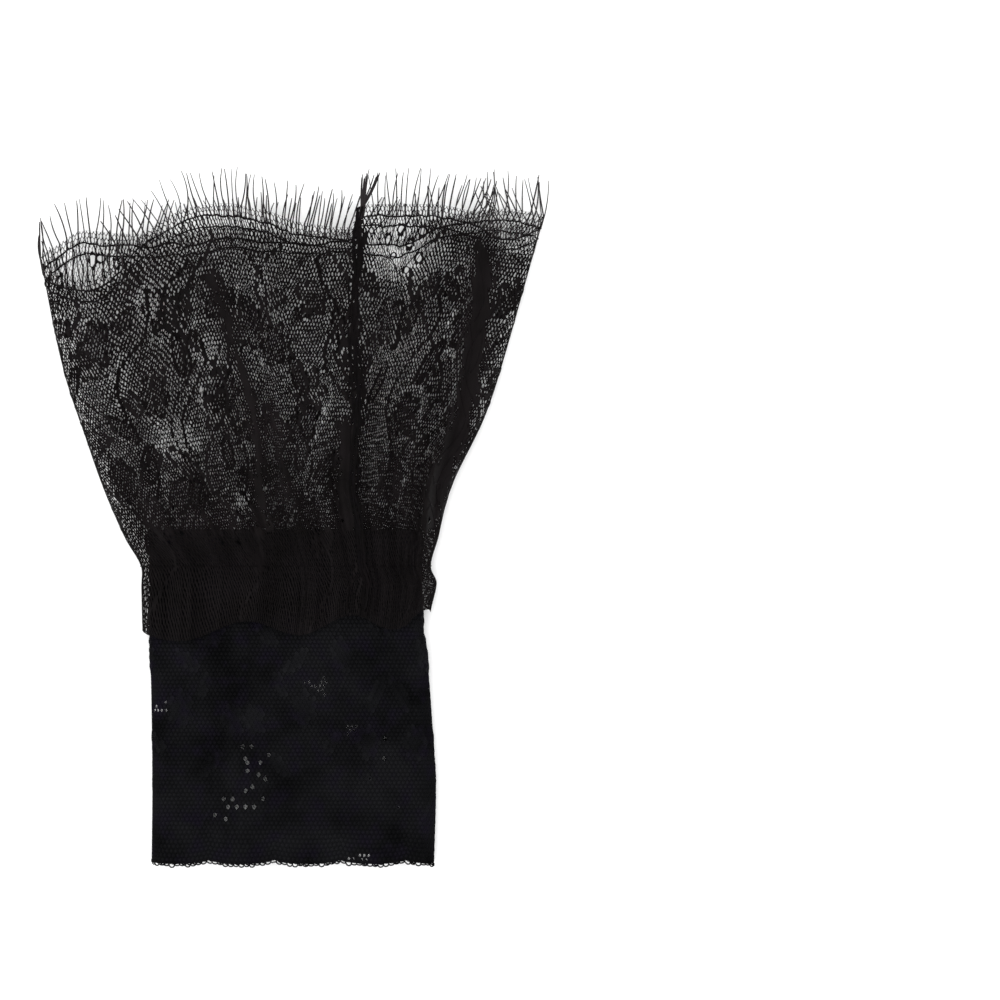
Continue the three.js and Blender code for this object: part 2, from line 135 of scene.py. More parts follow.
FLARE_FOLDS = [
    dict(top=True, mouth=0.3, waist=0.31, width=0.035, take=0.006, lean=0.3),
    dict(top=True, mouth=0.345, waist=0.43, width=0.045, take=0.012, lean=0.5),
    dict(top=True, mouth=0.66, waist=0.69, width=0.045, take=0.01, lean=-0.4),
    dict(top=True, mouth=0.87, waist=0.88, width=0.065, take=0.022, lean=-0.25),
    dict(top=False, mouth=0.24, waist=0.28, width=0.05, take=0.012, lean=0.3),
    dict(top=False, mouth=0.53, waist=0.5, width=0.05, take=0.012, lean=-0.3),
    dict(top=False, mouth=0.8, waist=0.75, width=0.05, take=0.01, lean=0.3),
]
BAND_SECTIONS = [
    dict(at=0.0, left=-1.005, right=0.985),
    dict(at=0.22, left=-1.0, right=0.998),
    dict(at=0.4, left=-1.004, right=0.974),
    dict(at=0.6, left=-1.012, right=0.94),
    dict(at=0.72, left=-1.018, right=0.908),
    dict(at=1.0, left=-1.022, right=0.905),
]
FLARE_HEM_Y = CUFF_LENGTH - FLARE_LENGTH
BAND_LIFT = WALL + 0.5 * GATHER_DEPTH_UNDER + SEAT_GAP
BAND_GIRTH = 2 * (BAND_WIDTH - BAND_HEIGHT) + math.pi * BAND_HEIGHT

# The part's frame is the cuff's own, moved so that its footprint is centred, and the band shows by how much
band_low, band_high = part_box("wrist_band")
BAND_LEFT_EDGE = min(row["left"] for row in BAND_SECTIONS) * BAND_WIDTH / 2
SHIFT_X = band_low.x / MM - BAND_LEFT_EDGE
SHIFT_Y = band_high.y / MM - BAND_LENGTH

# Lace: the net's meshes along and down the strip
NET_ACROSS = 1.02
NET_DOWN = 1.25
NET_SIDE = 0.6  # height of a mesh's upright sides
HOLE_LEAN = 0.3  # sideways lean of the small holes, as a share of how far they are closed
FLARE_PARTS = 3
NET_COLUMNS = FLARE_PARTS * round(FLARE_GIRTH / NET_ACROSS / FLARE_PARTS)
NET_ROWS = round(FLARE_LENGTH / NET_DOWN)
MESH_ACROSS = FLARE_GIRTH / NET_COLUMNS
MESH_DOWN = FLARE_LENGTH / NET_ROWS
BAND_ACROSS = 1.26
BAND_DOWN = 1.14
STRAND_RIDGE = 0.07
DIMPLE_DEPTH = 0.3  # of the band's closed meshes, below their strands
CORD_RADIUS = 0.26
OUTLINE_RADIUS = 0.14
FIRST_CORD = 3.4
SECOND_CORD = 6.3
SEAM_HALF = 1.3
THREAD_RADIUS = 0.2
THREAD_SPACING = 1.87


def ease(start, end, value):
    share = np.clip((value - start) / (end - start), 0, 1)
    return share * share * (3 - 2 * share)


def read(table, column, at):
    """A column of a table at any places, on a smooth curve through its rows."""
    places = np.array([row["at"] for row in table])
    values = np.array([row[column] for row in table])
    last = len(table) - 1
    row = np.searchsorted(places[1:last], at, side="left")
    step = places[row + 1] - places[row]
    share = np.clip((at - places[row]) / step, 0, 1)
    before = np.maximum(row - 1, 0)
    after = np.minimum(row + 2, last)
    slope_in = (values[row + 1] - values[before]) / (places[row + 1] - places[before]) * step
    slope_out = (values[after] - values[row]) / (places[after] - places[row]) * step
    square = share**2
    cube = share**3
    return (
        (2 * cube - 3 * square + 1) * values[row]
        + (cube - 2 * square + share) * slope_in
        + (3 * square - 2 * cube) * values[row + 1]
        + (cube - square) * slope_out
    )


def flat_loop(top, share, left, right, low, high):
    """Across and height of a place on a flattened loop of cloth."""
    radius = (high - low) / 2
    straight = right - left - 2 * radius
    quarter = math.pi * radius / 2
    across = np.where(top, share, 1 - share)
    run = across * (straight + 2 * quarter) - quarter
    turn = np.where(run < 0, run, np.maximum(0, run - straight)) / radius
    x = left + radius + np.clip(run, 0, straight) + radius * np.sin(turn)
    rise = radius * np.cos(turn)
    return x, low + radius + np.where(top, rise, -rise)


def scallop_edge(around, top, across):
    beat = np.abs(np.cos(math.pi * (around - FIRST_PEAK) / SCALLOP_PITCH))
    reach = np.where(top, read(MOUTH_TOP, "reach", across), read(MOUTH_UNDER, "reach", across))
    return SCALLOP_DEPTH * (beat**0.8 - 0.5) + MOUTH_REACH * reach


def fine_gathers(around, down):
    """Small uneven gathers between the large ones, deepest at the gathering stitch."""
    depth = 0.12 + 0.42 * ease(25, PINCH_AT, down)
    turn = 2 * math.pi * around / FLARE_GIRTH
    drift = 0.012 * (PINCH_AT - down)
    waves = 0.5 * np.sin(61 * turn + drift + 1.1) + 0.35 * np.sin(89 * turn - 2 * drift)
    return depth * (waves + 0.3 * np.sin(37 * turn + 0.06 * down))


def flare_layer(around, down):
    """Which layer a place along the strip lies in, its share of it, and the layer's share of the girth."""
    at = down / FLARE_LENGTH
    fold_left = read(FLARE_CLOTH, "fold_left", at)
    top_span = (read(FLARE_CLOTH, "fold_right", at) - fold_left + 1) % 1
    from_left = (around / FLARE_GIRTH - fold_left + 1) % 1
    top = from_left < top_span
    span = np.where(top, top_span, 1 - top_span)
    return top, np.where(top, from_left, from_left - top_span) / span, span


def flare_surface(around, down):
    """The flounce's surface: around runs along the strip from the seam, down from the scalloped edge."""
    at = down / FLARE_LENGTH
    value = {name: read(FLARE_SECTIONS, name, at) for name in ("left", "right", "side", "crown")}
    cloth = {name: read(FLARE_CLOTH, name, at) for name in ("gather", "under", "crowd")}
    top, share, span = flare_layer(around, down)
    across = np.where(top, share, 1 - share)
    to_waist = ease(0, PINCH_AT, down)
    laid = share.copy()
    ridge = np.zeros_like(share)
    lean = np.zeros_like(share)
    taken = np.zeros_like(share)
    for fold in FLARE_FOLDS:
        centre = fold["mouth"] + (fold["waist"] - fold["mouth"]) * to_waist
        place = (share - centre) / fold["width"]
        take = (top == fold["top"]) * fold["take"] * (1 - 0.5 * to_waist)
        bump = np.where(np.abs(place) < 1, 0.5 + 0.5 * np.cos(math.pi * place), 0)
        laid -= take / span * ease(-1, 1, place)
        taken += take / span
        ridge += 0.5 * take * FLARE_GIRTH * bump
        lean += 0.5 * take * FLARE_GIRTH * bump * fold["lean"]
    laid /= 1 - taken
    laid += np.where(top, cloth["crowd"] * 4 * laid * (1 - laid), 0)
    height = MOUTH_SIDE_HEIGHT + (BAND_HEIGHT + SEAT_GAP - MOUTH_SIDE_HEIGHT) * value["side"]
    left = value["left"] * MOUTH_WIDTH / 2 + WALL / 2
    right = value["right"] * MOUTH_WIDTH / 2 - WALL / 2
    x, z = flat_loop(top, laid, left, right, WALL / 2, WALL / 2 + height)
    clear_of_sides = ease(0, 0.1, share) * ease(0, 0.1, 1 - share)
    wave = 0.5 + 0.5 * np.cos(2 * math.pi * GATHER_COUNT * around / FLARE_GIRTH)
    depth = np.where(top, GATHER_DEPTH * cloth["gather"], GATHER_DEPTH_UNDER * cloth["under"])
    dome = np.where(top, CROWN * value["crown"] * np.sqrt(np.maximum(0, 4 * share * (1 - share))), 0)
    room = np.where(top, 1, 1 - ease(0.62, 0.8, at))
    rise = clear_of_sides * (depth * wave + ridge * room) + dome
    rise = rise + clear_of_sides * np.where(top, 1, 0.3 * room) * fine_gathers(around, down)
    edge_holds = 1 - ease(SCALLOP_RUN, SCALLOP_RUN + SCALLOP_FADE, down)
    hem = HEM_SLANT * (across - 0.5) + HEM_RIPPLE * np.cos(6 * math.pi * across + 1)
    y = CUFF_LENGTH - down + scallop_edge(around, top, across) * edge_holds
    y = y + hem * ease(PINCH_AT, FLARE_LENGTH, down)
    x = x + lean * clear_of_sides * room
    return np.stack([x, y, np.maximum(z + rise, 0.3)], axis=-1)


def band_surface(around, down):
    """The band's surface: around runs from its left side over the top layer and back, down from its top."""
    turn = (around / BAND_GIRTH) % 1
    top = turn < 0.5
    share = np.where(top, 2 * turn, 2 * turn - 1)
    up = BAND_LENGTH - down
    at = up / BAND_LENGTH
    left = read(BAND_SECTIONS, "left", at) * BAND_WIDTH / 2 + WALL / 2
    right = read(BAND_SECTIONS, "right", at) * BAND_WIDTH / 2 - WALL / 2
    step_top = FLARE_HEM_Y - STEP_BELOW_FLARE
    lift = BAND_LIFT * ease(step_top - STEP_LENGTH, step_top, up)
    x, z = flat_loop(top, share, left, right, WALL / 2 + lift, BAND_HEIGHT - WALL / 2)
    across = np.where(top, share, 1 - share)
    beat = np.abs(np.sin(math.pi * across * BAND_WIDTH / HEM_SCALLOP_PITCH))
    hem = -HEM_SCALLOP_DEPTH * np.sqrt(beat) * (1 - ease(0, HEM_SCALLOP_RUN, up))
    return np.stack([x, up + hem, z], axis=-1)


def outward(surface, around, down):
    """Unit vectors out of the cloth."""
    reach = 0.05
    across = surface(around + reach, down) - surface(around - reach, down)
    along = surface(around, down + reach) - surface(around, down - reach)
    normal = np.cross(along, across)
    return normal / np.maximum(np.linalg.norm(normal, axis=-1, keepdims=True), 1e-9)


def soft_noise(around, down, pitch, seed):
    """Smooth unevenness from -1 to 1, about pitch millimetres across, that closes round the strip."""
    chance = np.random.default_rng(seed)
    total = np.zeros_like(around, dtype=float)
    for _ in range(6):
        angle = chance.uniform(0, math.pi)
        rate = 2 * math.pi / (pitch * chance.uniform(0.7, 1.5))
        turns = round(rate * math.cos(angle) * FLARE_GIRTH / (2 * math.pi))
        start = chance.uniform(0, 2 * math.pi)
        total += np.sin(2 * math.pi * turns * around / FLARE_GIRTH + rate * math.sin(angle) * down + start)
    return total / 3


def speckle(around, down):
    """A steady chance from 0 to 1 for every place."""
    return np.modf(np.abs(np.sin(around * 12.9898 + down * 78.233) * 43758.5453))[0]


def knitted_flare(around, down):
    """The flounce's surface with its net pulled a little out of line, as knitted lace is."""
    hold = ease(0, 4, down) * ease(0, 4, FLARE_LENGTH - down)
    pull_around = 0.42 * soft_noise(around, down, 13, SEED + 11)
    pull_around += 0.1 * soft_noise(around, down, 1.9, SEED + 12)
    pull_down = 0.45 * soft_noise(around, down, 11, SEED + 13)
    pull_down += 0.2 * soft_noise(around, down, 3.1, SEED + 14)
    return flare_surface(around + hold * pull_around, down + hold * pull_down)


# Floral pattern of the lace. Each repeat of it is one scallop wide: across is the place in that repeat, from
# the scallop's peak, down the place below the edge, and both are shares of the scallop's pitch. rounds is the
# number of small round meshes beside a flower.
FLOWERS = [
    dict(across=0.02, down=0.47, radius=0.095, petals=6, turn=0.2, rounds=5),
    dict(across=0.34, down=0.3, radius=0.075, petals=5, turn=0.9, rounds=4),
    dict(across=-0.33, down=0.38, radius=0.08, petals=5, turn=0.4, rounds=5),
    dict(across=0.3, down=0.68, radius=0.09, petals=6, turn=0.0, rounds=6),
    dict(across=-0.2, down=0.8, radius=0.085, petals=5, turn=1.3, rounds=5),
    dict(across=0.08, down=1.05, radius=0.09, petals=6, turn=0.5, rounds=4),
    dict(across=0.43, down=1.1, radius=0.08, petals=5, turn=0.7, rounds=3),
    dict(across=-0.34, down=1.2, radius=0.085, petals=6, turn=0.1, rounds=3),
]
LEAVES = [
    dict(across=-0.14, down=0.31, length=0.15, width=0.055, turn=0.7),
    dict(across=0.17, down=0.36, length=0.16, width=0.055, turn=2.3),
    dict(across=-0.14, down=0.6, length=0.19, width=0.06, turn=2.2),
    dict(across=0.47, down=0.5, length=0.18, width=0.06, turn=1.4),
    dict(across=0.12, down=0.83, length=0.19, width=0.06, turn=0.5),
    dict(across=-0.44, down=0.64, length=0.16, width=0.055, turn=1.8),
    dict(across=-0.42, down=0.98, length=0.2, width=0.065, turn=0.9),
    dict(across=0.27, down=1.3, length=0.18, width=0.06, turn=2.6),
    dict(across=-0.1, down=1.2, length=0.16, width=0.055, turn=0.6),
    dict(across=0.24, down=0.94, length=0.14, width=0.05, turn=2.1),
]
# Winding stems between them: swing is how far a stem winds to either side, wave how far down it repeats
STEMS = [
    dict(across=-0.24, swing=0.09, wave=0.6, phase=0.3),
    dict(across=0.2, swing=0.1, wave=0.72, phase=2.0),
    dict(across=0.46, swing=0.07, wave=0.5, phase=4.1),
]
PEAKS = range(-1, 6)


def placed_motifs(motifs):
    """Every copy of the motifs, in millimetres along and down the strip."""
    for peak in PEAKS:
        mirror = -1 if peak % 2 else 1
        for motif in motifs:
            spot = dict(motif)
            spot["around"] = FIRST_PEAK + (peak + mirror * motif["across"]) * SCALLOP_PITCH
            spot["down"] = motif.get("down", 0) * SCALLOP_PITCH
            spot["turn"] = mirror * motif.get("turn", 0)
            yield spot


def petal_reach(flower, angle):
    wave = np.abs(np.cos(flower["petals"] / 2 * (angle - flower["turn"])))
    return flower["radius"] * SCALLOP_PITCH * (0.58 + 0.42 * wave)


def stem_around(stem, down):
    turn = 2 * math.pi * down / (stem["wave"] * SCALLOP_PITCH) + stem["phase"]
    return stem["around"] + stem["swing"] * SCALLOP_PITCH * np.sin(turn)


def floral(around, down):
    """Whether a place lies in a motif, and its distance from the nearest outline."""
    inside = np.zeros(around.shape, bool)
    edge = np.full_like(around, 99.0)
    for flower in placed_motifs(FLOWERS):
        dx = around - flower["around"]
        dy = down - flower["down"]
        beyond = np.hypot(dx, dy) - petal_reach(flower, np.arctan2(dy, dx))
        inside |= beyond < 0
        edge = np.minimum(edge, np.abs(beyond))
    for leaf in placed_motifs(LEAVES):
        dx = around - leaf["around"]
        dy = down - leaf["down"]
        long_way = dx * math.cos(leaf["turn"]) + dy * math.sin(leaf["turn"])
        short_way = -dx * math.sin(leaf["turn"]) + dy * math.cos(leaf["turn"])
        half = leaf["length"] * SCALLOP_PITCH / 2
        thick = leaf["width"] * SCALLOP_PITCH / 2 * np.sqrt(np.maximum(0, 1 - (long_way / half) ** 2))
        beyond = np.abs(short_way) - thick
        on_leaf = np.abs(long_way) < half
        inside |= on_leaf & (beyond < 0)
        edge = np.minimum(edge, np.where(on_leaf, np.abs(beyond), 99))
    for stem in placed_motifs(STEMS):
        edge = np.minimum(edge, 0.8 * np.abs(around - stem_around(stem, down)))
    return inside, edge


# Openwork: rounds and slots pierced through the lace. x and y are an opening's middle in the cuff's own
# frame, radius is half its width and half is half the straight run of a slot. They lie in the top layer
# under the right scallop, and in the under layer at the left corner, where the top layer lies back.
OPENWORK = [
    dict(top=True, x=22.4, y=178.3, radius=0.7, half=0),
    dict(top=True, x=30.4, y=179.1, radius=1.12, half=0),
    dict(top=True, x=36.8, y=178.3, radius=1.12, half=0),
    dict(top=True, x=26.7, y=175.4, radius=1.12, half=0),
    dict(top=True, x=33.0, y=174.8, radius=1.12, half=0),
    dict(top=True, x=28.7, y=171.1, radius=0.95, half=0),
    dict(top=True, x=35.7, y=171.4, radius=0.9, half=0.5),
    dict(top=True, x=32.0, y=168.2, radius=0.75, half=0),
    dict(top=False, x=-67.9, y=170.1, radius=0.5, half=0.6),
    dict(top=False, x=-66.8, y=165.1, radius=0.6, half=0.6),
    dict(top=False, x=-57.6, y=170.3, radius=0.85, half=1.4),
    dict(top=False, x=-55.0, y=171.8, radius=1.1, half=0.2),
    dict(top=False, x=-51.6, y=169.7, radius=0.6, half=0.85),
]
ROUND_RADIUS = 0.7
THROUGH_MARGIN = 1.1
SEAM_X = 18.6  # where the seam meets the mouth


def place_on_flare(x, y, top):
    """Where along and down the strip a spot of one layer lies, found in small steps."""
    way = 1 if top else -1
    start = x - SEAM_X if top else FLARE_CLOTH[0]["fold_left"] * FLARE_GIRTH - (x + MOUTH_WIDTH / 2)
    around = np.array([start], float)
    down = np.array([CUFF_LENGTH - y], float)
    for _ in range(30):
        found = knitted_flare(around, down)
        around = around + 0.6 * way * (x - found[:, 0])
        down = down + 0.6 * (found[:, 1] - y)
    return around[0], down[0]


def nearest_mesh(around, down):
    """The middle of the net's mesh nearest to a place."""
    row = round(down / MESH_DOWN)
    stagger = (row & 1) / 2
    return (round(around / MESH_ACROSS - stagger) + stagger) * MESH_ACROSS, row * MESH_DOWN


def openings():
    """The pierced openings: middle along and down the strip, radius, and half the slot's straight run."""
    for opening in OPENWORK:
        place = place_on_flare(opening["x"], opening["y"], opening["top"])
        around, down = nearest_mesh(*place)
        yield dict(opening, around=around, down=down, rimmed=True)
        if opening["top"]:
            # The photographed rounds show white, so the under layer is pierced behind each of them
            place = place_on_flare(opening["x"], opening["y"], False)
            around, down = nearest_mesh(*place)
            wider = opening["radius"] + THROUGH_MARGIN
            yield dict(opening, top=False, radius=wider, around=around, down=down, rimmed=False)


def small_rounds():
    """Arcs of small round meshes beside the flowers, each on a mesh of the net."""
    for flower in placed_motifs(FLOWERS):
        for turn in np.linspace(-0.9, 0.9, flower["rounds"]) + 2.2 * flower["turn"] + 0.8:
            reach = flower["radius"] * SCALLOP_PITCH + 1.7
            around, down = nearest_mesh(
                flower["around"] + reach * math.cos(turn), flower["down"] + reach * math.sin(turn)
            )
            if 3 < around < FLARE_GIRTH - 3 and SECOND_CORD + 2 < down < FLARE_LENGTH - 20:
                yield dict(around=around, down=down, half=0, radius=ROUND_RADIUS)


def beyond_opening(around, down, hole):
    """How far a place is outside an opening, and the nearest place on the opening's middle line."""
    near = np.clip(down, hole["down"] - hole["half"], hole["down"] + hole["half"])
    return np.hypot(around - hole["around"], down - near) - hole["radius"], near


def push_out(around, down, holes):
    """Corners that fall inside an opening move onto its rim."""
    for hole in holes:
        reach = hole["half"] + hole["radius"]
        near_by = (np.abs(around - hole["around"]) < reach) & (np.abs(down - hole["down"]) < reach)
        chosen = np.flatnonzero(near_by)
        beyond, near = beyond_opening(around[chosen], down[chosen], hole)
        inside = beyond < 0
        chosen, near = chosen[inside], near[inside]
        grow = hole["radius"] / np.maximum(beyond[inside] + hole["radius"], 1e-6)
        around[chosen] = hole["around"] + (around[chosen] - hole["around"]) * grow
        down[chosen] = near + (down[chosen] - near) * grow
    return around, down


CORNERS = np.array([(0, 2), (1, 1), (1, 0), (0, -1), (-1, 0), (-1, 1)])


def net(first, last, rows, pitch_across, pitch_down):
    """A staggered net of six-sided meshes: corner places, and each mesh's corner numbers and middle."""
    column, row = (grid.ravel() for grid in np.meshgrid(np.arange(first, last), np.arange(rows)))
    stagger = row & 1
    half_columns = (2 * column + stagger)[:, None] + CORNERS[:, 0]
    levels = (2 * row)[:, None] + CORNERS[:, 1]
    keys, corner = np.unique(
        np.stack([half_columns.ravel(), levels.ravel()], axis=1), axis=0, return_inverse=True
    )
    around = keys[:, 0] * pitch_across / 2
    level = keys[:, 1]
    down = (level // 2) * pitch_down + np.where(level % 2, NET_SIDE / 2, -NET_SIDE / 2)
    middle = (column + stagger / 2) * pitch_across, row * pitch_down
    return around, down, corner.reshape(-1, 6), middle


def make_mesh(name, points, faces, fabric, material):
    """A piece from points in the cuff's own frame, with its fabric coordinates as a map in metres."""
    moved = (points + np.array([SHIFT_X, SHIFT_Y, 0])) * MM
    mesh = bpy.data.meshes.new(name)
    mesh.from_pydata(moved.tolist(), [], faces)
    loop_points = np.empty(len(mesh.loops), np.int32)
    mesh.loops.foreach_get("vertex_index", loop_points)
    layer = mesh.uv_layers.new(name="fabric")
    layer.data.foreach_set("uv", (fabric[loop_points] * MM).astype(np.float32).ravel())
    mesh.materials.append(material)
    mesh.update()
    piece = bpy.data.objects.new(name, mesh)
    bpy.context.scene.collection.objects.link(piece)
    return piece


def cut_area(fabric, faces):
    """Area of faces laid flat, in square metres."""
    if len(faces) == 0:
        return 0.0
    corner = fabric[faces] * MM
    following = np.roll(corner, -1, axis=1)
    cross = corner[..., 0] * following[..., 1] - corner[..., 1] * following[..., 0]
    return float(np.abs(cross.sum(axis=1)).sum() / 2)


def lace_sheet(name, surface, lattice, size, length, material, holes=(), relief=0, dimple=0, lean=0):
    """A sheet of lace: each mesh is a six-sided ring round its hole, or is closed, flat or dimpled."""
    around, down, corners, (middle_around, middle_down) = lattice
    hole_across, hole_tall = size
    down = np.clip(down, 0, length)
    keep = np.ones(len(corners), bool)
    for hole in holes:
        keep &= beyond_opening(middle_around, middle_down, hole)[0] > -0.25
    around, down = push_out(around.copy(), down, holes)
    corners, hole_across, hole_tall = corners[keep], hole_across[keep], hole_tall[keep]
    raised = np.broadcast_to(relief, keep.shape)[keep]
    sunk = np.broadcast_to(dimple, keep.shape)[keep]
    is_open = hole_across > 0.05
    ringed = is_open | (sunk > 0)
    ring = corners[ringed]
    across = np.where(is_open, hole_across, sunk)[ringed, None]
    tall = np.where(is_open, hole_tall, sunk)[ringed, None]
    ring_around = around[ring]
    ring_down = down[ring]
    middle_around = ring_around.mean(axis=1, keepdims=True)
    middle_down = ring_down.mean(axis=1, keepdims=True)
    slant = lean * (1 - across) * (ring_down - middle_down)
    hole_around = middle_around + (ring_around - middle_around) * across + slant
    hole_down = middle_down + (ring_down - middle_down) * tall
    all_around = np.concatenate([around, hole_around.ravel()])
    all_down = np.concatenate([down, hole_down.ravel()])
    lift = np.full(len(all_around), -STRAND_RIDGE)
    lift[: len(around)] = STRAND_RIDGE
    np.add.at(lift, corners.ravel(), np.repeat(raised / 3, 6))
    lift[len(around) :] += np.repeat(raised[ringed] - DIMPLE_DEPTH * ~is_open[ringed], 6)
    points = surface(all_around, all_down) + outward(surface, all_around, all_down) * lift[:, None]
    hole = len(around) + np.arange(ring.size).reshape(-1, 6)
    following = np.roll(np.arange(6), -1)
    quads = np.stack([ring, ring[:, following], hole[:, following], hole], axis=-1).reshape(-1, 4)
    patches = np.concatenate([corners[~ringed], hole[~is_open[ringed]]])
    fabric = np.stack([all_around, all_down], axis=1)
    used = np.unique(np.concatenate([quads.ravel(), patches.ravel()]))
    renumber = np.zeros(len(points), int)
    renumber[used] = np.arange(len(used))
    faces = renumber[quads].tolist() + renumber[patches].tolist()
    flat_area = cut_area(fabric, quads) + cut_area(fabric, patches)
    return make_mesh(name, points[used], faces, fabric[used], material), flat_area


class Threads:
    """Collects many thin round threads into one mesh."""

    def __init__(self):
        self.points, self.faces, self.fabric, self.count = [], [], [], 0

    def add(self, path, radius, sides=5, closed=False):
        """path holds the thread's points, and radius its thickness at each or everywhere."""
        path = np.asarray(path, float)
        total = len(path)
        radius = np.broadcast_to(radius, total)
        if closed:
            forward = np.roll(path, -1, axis=0) - np.roll(path, 1, axis=0)
        else:
            forward = np.gradient(path, axis=0)
        forward /= np.maximum(np.linalg.norm(forward, axis=1, keepdims=True), 1e-9)
        helper = np.where(np.abs(forward[:, 2:3]) < 0.9, [[0.0, 0.0, 1.0]], [[0.0, 1.0, 0.0]])
        side = np.cross(forward, helper)
        side /= np.linalg.norm(side, axis=1, keepdims=True)
        up = np.cross(side, forward)
        angle = 2 * math.pi * np.arange(sides) / sides
        ring = side[:, None] * np.cos(angle)[:, None] + up[:, None] * np.sin(angle)[:, None]
        points = path[:, None] + ring * radius[:, None, None]
        length = np.concatenate([[0], np.cumsum(np.linalg.norm(np.diff(path, axis=0), axis=1))])
        number = self.count + np.arange(total * sides).reshape(total, sides)
        spans = total if closed else total - 1
        low, high = number[np.arange(spans)], number[(np.arange(spans) + 1) % total]
        quads = np.stack([low, np.roll(low, -1, axis=1), np.roll(high, -1, axis=1), high], axis=-1)
        self.faces.extend(quads.reshape(-1, 4).tolist())
        if not closed:
            self.faces.append(number[0][::-1].tolist())
            self.faces.append(number[-1].tolist())
        self.points.append(points.reshape(-1, 3))
        fabric = np.stack(np.broadcast_arrays(angle * 0.1, length[:, None]), axis=-1)
        self.fabric.append(fabric.reshape(-1, 2))
        self.count += total * sides

    def piece(self, name, material):
        return make_mesh(
            name, np.concatenate(self.points), self.faces, np.concatenate(self.fabric), material
        )


def on_cloth(surface, around, down, lift):
    """Points on a cloth's surface, lifted off it."""
    around = np.asarray(around, float)
    down = np.broadcast_to(np.asarray(down, float), around.shape)
    return surface(around, down) + outward(surface, around, down) * lift


# Materials
def linear(hex_colour):
    channels = [int(hex_colour[place : place + 2], 16) / 255 for place in (1, 3, 5)]
    return [c / 12.92 if c <= 0.04045 else ((c + 0.055) / 1.055) ** 2.4 for c in channels] + [1]


def add_node(material, kind, inputs=(), **settings):
    """A node with its settings, and its inputs set or linked."""
    node = material.node_tree.nodes.new(kind)
    for name, value in settings.items():
        setattr(node, name, value)
    for name, value in dict(inputs).items():
        if isinstance(value, bpy.types.NodeSocket):
            material.node_tree.links.new(value, node.inputs[name])
        else:
            node.inputs[name].default_value = value
    return node


def new_material(name):
    material = bpy.data.materials.new(name)
    material.use_nodes = True
    material.node_tree.nodes.clear()
    return material


def finish_material(material, shader):
    output = add_node(material, "ShaderNodeOutputMaterial")
    material.node_tree.links.new(shader.outputs["BSDF"], output.inputs["Surface"])
    return material


def noise_of(material, place, size):
    """Noise whose marks are about size millimetres."""
    scale = 1 / (size * MM)
    node = add_node(material, "ShaderNodeTexNoise", {"Vector": place, "Scale": scale, "Detail": 3.0})
    return node.outputs["Fac"]


def dyed_yarn(name, deep, worn, tint, filament, roughness, specular, bump):
    """Black filament yarn: two blacks in soft patches, a faint tint, and the lie of its filaments."""
    material = new_material(name)
    fabric = add_node(material, "ShaderNodeUVMap", uv_map="fabric").outputs["UV"]
    place = add_node(material, "ShaderNodeTexCoord").outputs["Object"]
    patches = add_node(
        material,
        "ShaderNodeMapRange",
        {"Value": noise_of(material, place, DYE_PATCH), "From Min": 0.35, "From Max": 0.65},
    )
    colour = add_node(
        material,
        "ShaderNodeMix",
        {"Factor": patches.outputs["Result"], "A": linear(deep), "B": linear(worn)},
        data_type="RGBA",
    )
    tint_share = add_node(
        material,
        "ShaderNodeMapRange",
        {"Value": noise_of(material, place, TINT_SPOT), "From Min": 0.5, "From Max": 0.72, "To Max": 0.7},
    )
    tinted = add_node(
        material,
        "ShaderNodeMix",
        {"Factor": tint_share.outputs["Result"], "A": colour.outputs["Result"], "B": linear(tint)},
        data_type="RGBA",
    )
    stretch = add_node(
        material, "ShaderNodeMapping", {"Vector": fabric, "Scale": (1 / (filament * MM), 1 / (2 * MM), 1)}
    )
    filaments = add_node(
        material, "ShaderNodeTexNoise", {"Vector": stretch.outputs["Vector"], "Scale": 1.0, "Detail": 2.0}
    )
    relief = add_node(
        material,
        "ShaderNodeBump",
        {"Height": filaments.outputs["Fac"], "Strength": bump, "Distance": filament * MM},
    )
    uneven_gloss = add_node(
        material,
        "ShaderNodeMapRange",
        {
            "Value": filaments.outputs["Fac"],
            "From Min": 0.3,
            "From Max": 0.7,
            "To Min": roughness - 0.1,
            "To Max": roughness + 0.1,
        },
    )
    shader = add_node(
        material,
        "ShaderNodeBsdfPrincipled",
        {
            "Base Color": tinted.outputs["Result"],
            "Roughness": uneven_gloss.outputs["Result"],
            "Normal": relief.outputs["Normal"],
            "Sheen Weight": 0.006,
            "Sheen Roughness": 0.4,
            "IOR": 1.53,
            "Specular IOR Level": specular,
        },
    )
    return finish_material(material, shader)


def white_card():
    """Uncoated white card under the cuff: an even white with no gloss, and the faint tooth of its fibres."""
    material = new_material("uncoated_white_card")
    place = add_node(material, "ShaderNodeTexCoord").outputs["Object"]
    relief = add_node(
        material,
        "ShaderNodeBump",
        {"Height": noise_of(material, place, CARD_TOOTH), "Strength": 0.05, "Distance": 0.05 * MM},
    )
    shader = add_node(
        material,
        "ShaderNodeBsdfPrincipled",
        {
            "Base Color": linear("#fcfcfc"),
            "Roughness": 0.9,
            "Normal": relief.outputs["Normal"],
            "Specular IOR Level": 0.1,
        },
    )
    return finish_material(material, shader)


DYE_PATCH = 14  # size of the uneven patches in piece-dyed lace
TINT_SPOT = 5
CARD_TOOTH = 0.8  # coarser than a card's real fibres, so that it shows
# Filaments are really about 0.02 mm apart, and are drawn seven to ten times as coarse, so that they show.
# Warp-knitted polyamide net: fine matt threads, a black that goes a little warm and brown where it is thin
POLYAMIDE_NET = dyed_yarn("knitted_polyamide_net", "#0b0909", "#120f10", "#110e0e", 0.16, 0.65, 0.03, 0.5)
# Laid-in viscose gimp: a rounder, deeper black line with a soft lustre along its top
VISCOSE_CORD = dyed_yarn("laid_viscose_gimp", "#080607", "#0f0c0d", "#0e0b0d", 0.2, 0.5, 0.05, 0.6)
